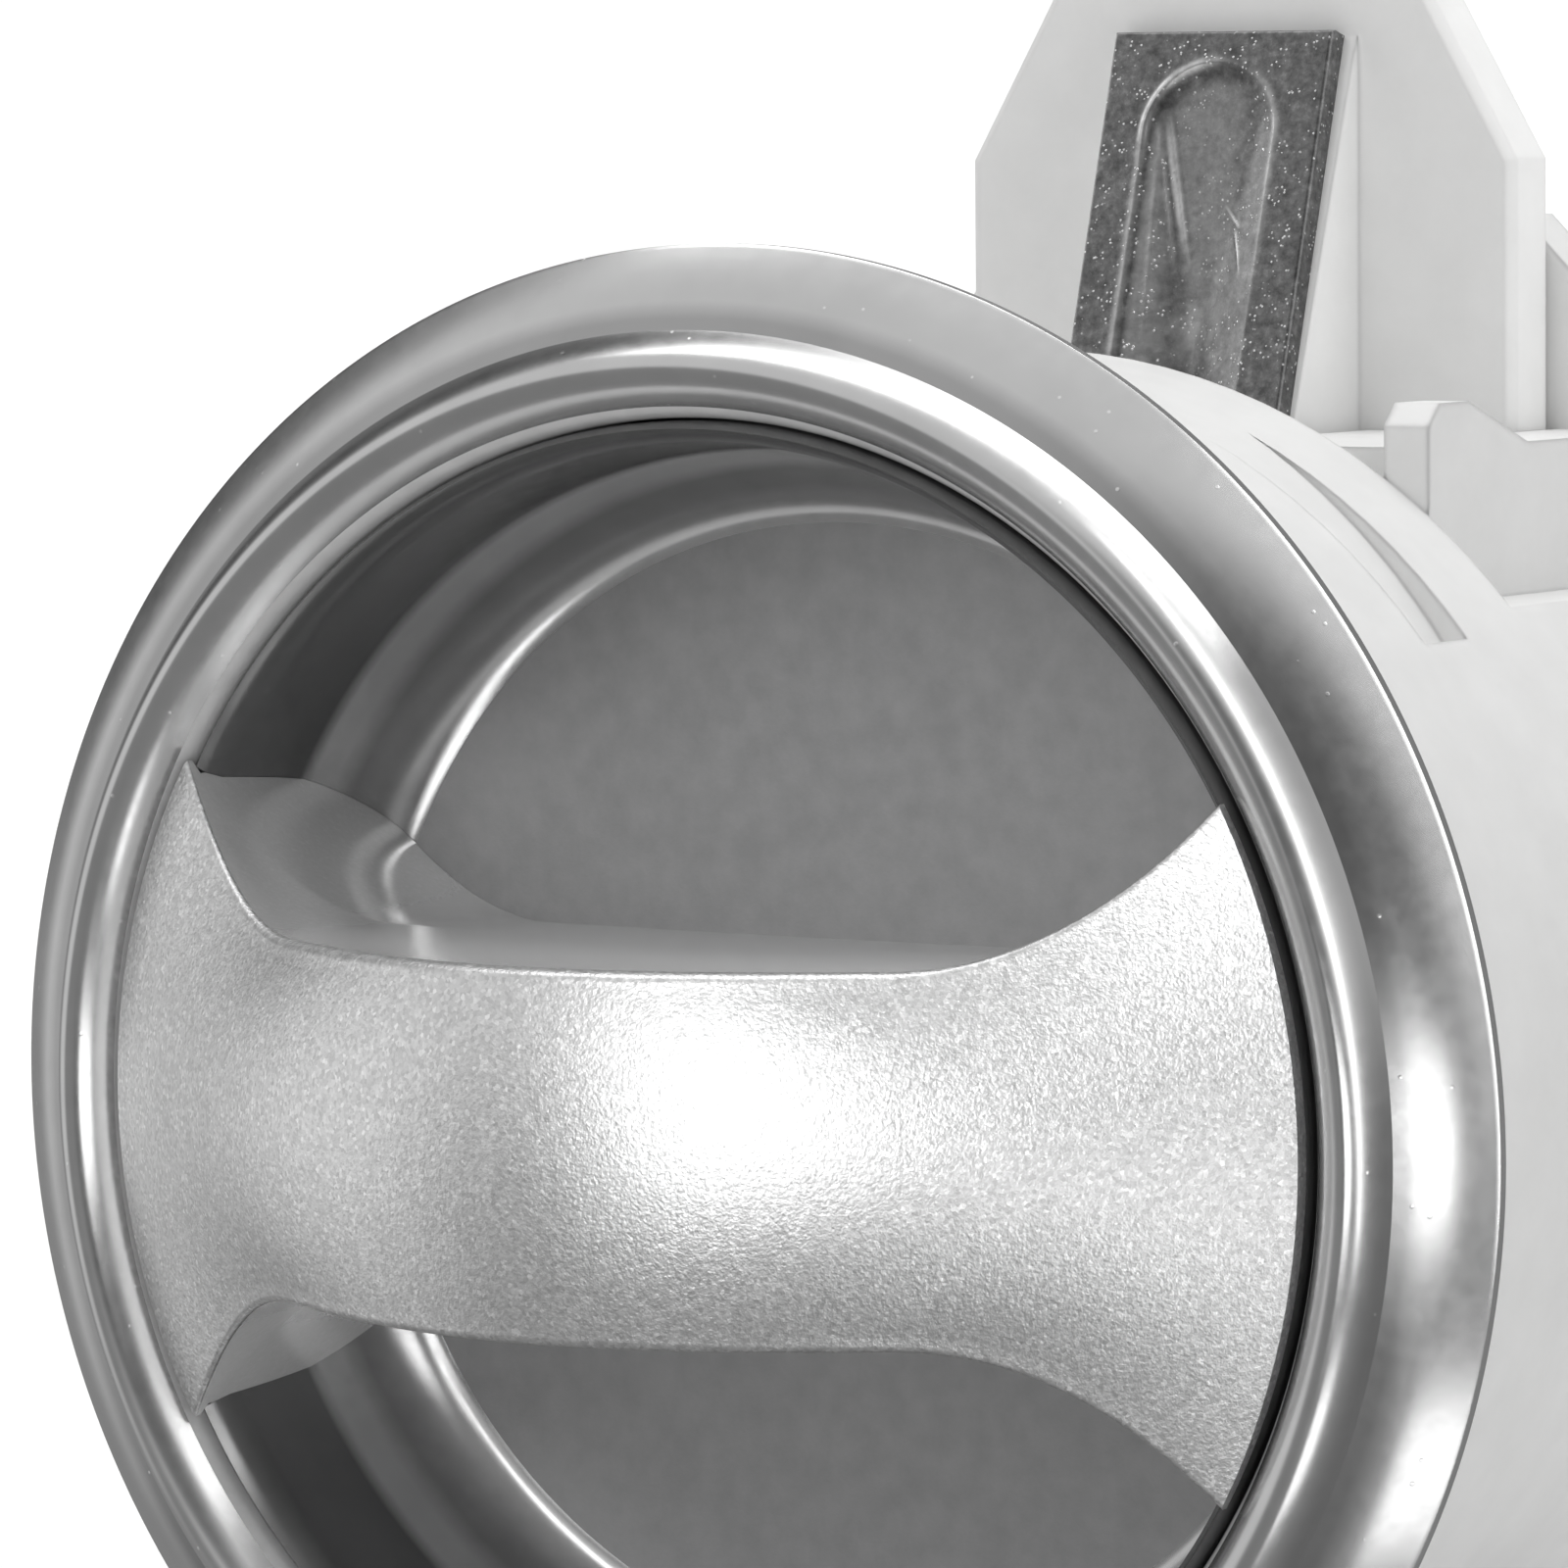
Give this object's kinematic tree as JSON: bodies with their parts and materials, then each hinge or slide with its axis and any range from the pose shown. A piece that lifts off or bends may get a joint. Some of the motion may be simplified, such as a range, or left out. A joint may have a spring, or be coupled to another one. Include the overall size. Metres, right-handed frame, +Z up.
{
  "type": "recessed cabinet knob lock",
  "caption": "Flush turn-knob cabinet latch: a round recessed cup with an arched grip bar whose quarter turn slides a wedge-faced bolt through a rack and gear.",
  "frame": {"origin": "on the knob's axis, in the plane of the door's front face, where the bezel's flange seats", "axes": "+Y along the knob's axis back into the door, +Z up along the bolt, +X to the right seen from the front"},
  "size_m": [0.076, 0.0609, 0.0715],
  "materials": {
    "white_plastic": "fine moulded satin",
    "bolt_plastic": "fine moulded satin",
    "polished_chrome": "polished",
    "satin_chrome": "polished wall, matt floor",
    "pearl_chrome": "pearl blasted satin",
    "galvanised_steel": "galvanised, speckled",
    "turned_steel": "turned",
    "zinc_steel": "bright zinc",
    "spring_steel": "rolled",
    "bronze": "sintered",
    "washer_plastic": "moulded",
    "gear_plastic": "moulded"
  },
  "bodies": {
    "case": {"housing": "white_plastic", "rear_cover": "white_plastic", "bezel_ring": "polished_chrome", "spindle_bush": "bronze", "thrust_washer": "washer_plastic", "detent_spring_left": "spring_steel", "detent_spring_right": "spring_steel", "cover_screws": "zinc_steel"},
    "knob": {"knob_cup": "satin_chrome", "knob_bar": "pearl_chrome", "bar_screws": "zinc_steel", "spindle": "turned_steel", "drive_gear": "gear_plastic", "rear_washer": "zinc_steel", "retaining_clip": "spring_steel"},
    "bolt": {"bolt": "bolt_plastic", "wear_plate": "galvanised_steel"}
  },
  "joints": [
    {"name": "knob_turn", "type": "hinge", "parent": "case", "child": "knob", "pos_m": [0, 0, 0], "axis": [0, -1, 0], "range_deg": [0, 90]},
    {"name": "bolt_slide", "type": "slide", "parent": "case", "child": "bolt", "axis": [0, 0, -1], "range_m": [0, 0.01257], "deforming": ["detent_spring_left", "detent_spring_right"]}
  ],
  "couplings": [
    {"joint": "bolt_slide", "follows": "knob_turn", "m_per_rad": 0.008}
  ]
}
